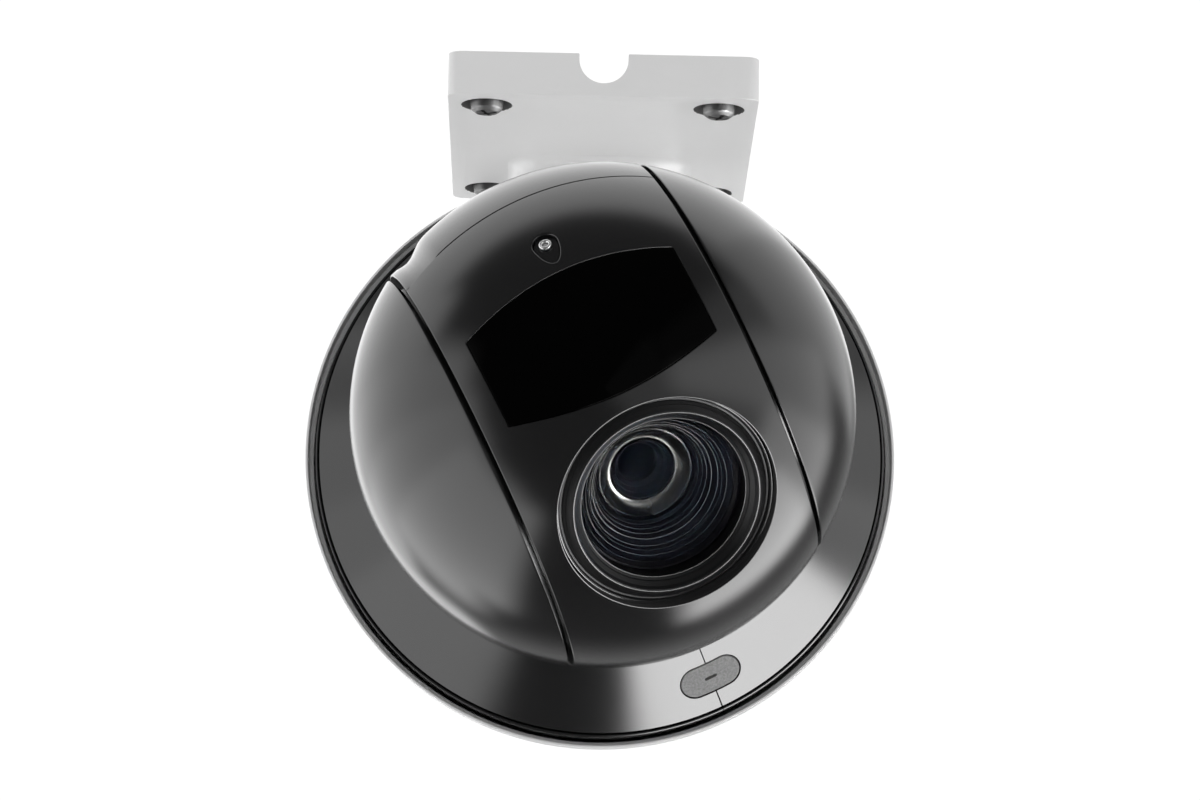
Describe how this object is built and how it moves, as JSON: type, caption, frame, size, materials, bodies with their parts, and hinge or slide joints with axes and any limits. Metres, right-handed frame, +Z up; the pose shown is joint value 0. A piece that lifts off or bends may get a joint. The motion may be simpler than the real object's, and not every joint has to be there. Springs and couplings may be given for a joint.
{
  "type": "ptz camera",
  "caption": "Pan-tilt-zoom dome camera: dark ball with lens and infrared window under a white bell housing, hung from a wall bracket.",
  "frame": {"origin": "centre of the wall plate's back face, on the wall", "axes": "+Y into the wall, +Z up, the dome hangs at -Y and -Z, +X to the right of a viewer facing the wall"},
  "size_m": [0.16, 0.222, 0.3448],
  "materials": {
    "bracket_paint": "satin white powder coat",
    "housing_paint": "satin white paint",
    "ball_dark": "satin black moulded plastic",
    "skirt_dark": "semi-gloss dark moulded plastic",
    "window_black": "polished infrared-pass black",
    "bezel_black": "satin black",
    "plug_rubber": "grainy grey",
    "seal_rubber": "matte",
    "screw_steel": "zinc plated",
    "steel": "machined",
    "aluminium": "machined",
    "board": "solder mask",
    "plastic": "moulded",
    "lens_glass": "coated optical glass"
  },
  "bodies": {
    "housing": {"wall_bracket": "bracket_paint", "wall_screw_1": "screw_steel", "wall_screw_2": "screw_steel", "wall_screw_3": "screw_steel", "wall_screw_4": "screw_steel", "wall_washer_1": "screw_steel", "wall_washer_2": "screw_steel", "wall_washer_3": "screw_steel", "wall_washer_4": "screw_steel", "adapter_set_screw_1": "screw_steel", "adapter_set_screw_2": "screw_steel", "adapter_set_screw_3": "screw_steel", "upper_housing": "housing_paint", "top_cap": "housing_paint", "cap_seal": "seal_rubber", "pendant_adapter": "aluminium", "cable_grommet": "seal_rubber", "chassis_plate": "aluminium", "pan_bearing_outer": "steel", "bearing_cage": "steel", "pan_motor": "steel", "pan_belt": "seal_rubber", "main_board": "board", "slip_ring_stator": "plastic"},
    "pan_yoke": {"skirt_left": "skirt_dark", "skirt_right": "skirt_dark", "skirt_plug": "plug_rubber", "cheek_left": "ball_dark", "cheek_right": "ball_dark", "yoke_frame": "aluminium", "pan_shaft": "steel", "pan_bearing_inner": "steel", "pan_pulley": "aluminium", "slip_ring_rotor": "plastic", "tilt_bearing_left": "steel", "tilt_bearing_right": "steel", "tilt_motor": "steel", "tilt_belt": "seal_rubber", "driver_board": "board"},
    "pan_motor_rotor": {"pan_motor_pulley": "aluminium"},
    "tilt_motor_rotor": {"tilt_motor_pulley": "aluminium"},
    "head": {"head_front_cover": "ball_dark", "head_rear_cover": "ball_dark", "ir_window": "window_black", "light_sensor": "lens_glass", "ir_led_board": "board", "lens_bezel": "bezel_black", "front_lens": "lens_glass", "lens_housing": "plastic", "sensor_block": "plastic", "tilt_axle_left": "steel", "tilt_axle_right": "steel", "tilt_pulley": "aluminium"},
    "zoom_lens": {"zoom_group": "lens_glass"},
    "focus_lens": {"focus_group": "lens_glass"},
    "filter_slide": {"ir_cut_filter": "lens_glass"}
  },
  "joints": [
    {"name": "pan", "type": "hinge", "parent": "housing", "child": "pan_yoke", "pos_m": [0, -0.142, -0.2162], "axis": [0, 0, 1], "continuous": true},
    {"name": "tilt", "type": "hinge", "parent": "pan_yoke", "child": "head", "pos_m": [0, -0.142, -0.2162], "axis": [0.8942, -0.4478, 0], "range_deg": [-67.3, 37.7]},
    {"name": "pan_motor_spin", "type": "hinge", "parent": "housing", "child": "pan_motor_rotor", "pos_m": [0, -0.099, -0.0765], "axis": [0, 0, 1], "continuous": true},
    {"name": "tilt_motor_spin", "type": "hinge", "parent": "pan_yoke", "child": "tilt_motor_rotor", "pos_m": [0.04292, -0.16349, -0.1285], "axis": [0.8942, -0.4478, 0], "range_deg": [-170, 96]},
    {"name": "zoom", "type": "slide", "parent": "head", "child": "zoom_lens", "axis": [-0.2738, -0.5468, -0.7912], "range_m": [-0.01, 0.004]},
    {"name": "focus", "type": "slide", "parent": "head", "child": "focus_lens", "axis": [-0.2738, -0.5468, -0.7912], "range_m": [-0.003, 0.0015]},
    {"name": "ir_cut", "type": "slide", "parent": "head", "child": "filter_slide", "axis": [0.8942, -0.4478, 0], "range_m": [0, 0.009]}
  ],
  "couplings": [
    {"joint": "pan_motor_spin", "follows": "pan", "ratio": 4},
    {"joint": "tilt_motor_spin", "follows": "tilt", "ratio": 2.5}
  ]
}
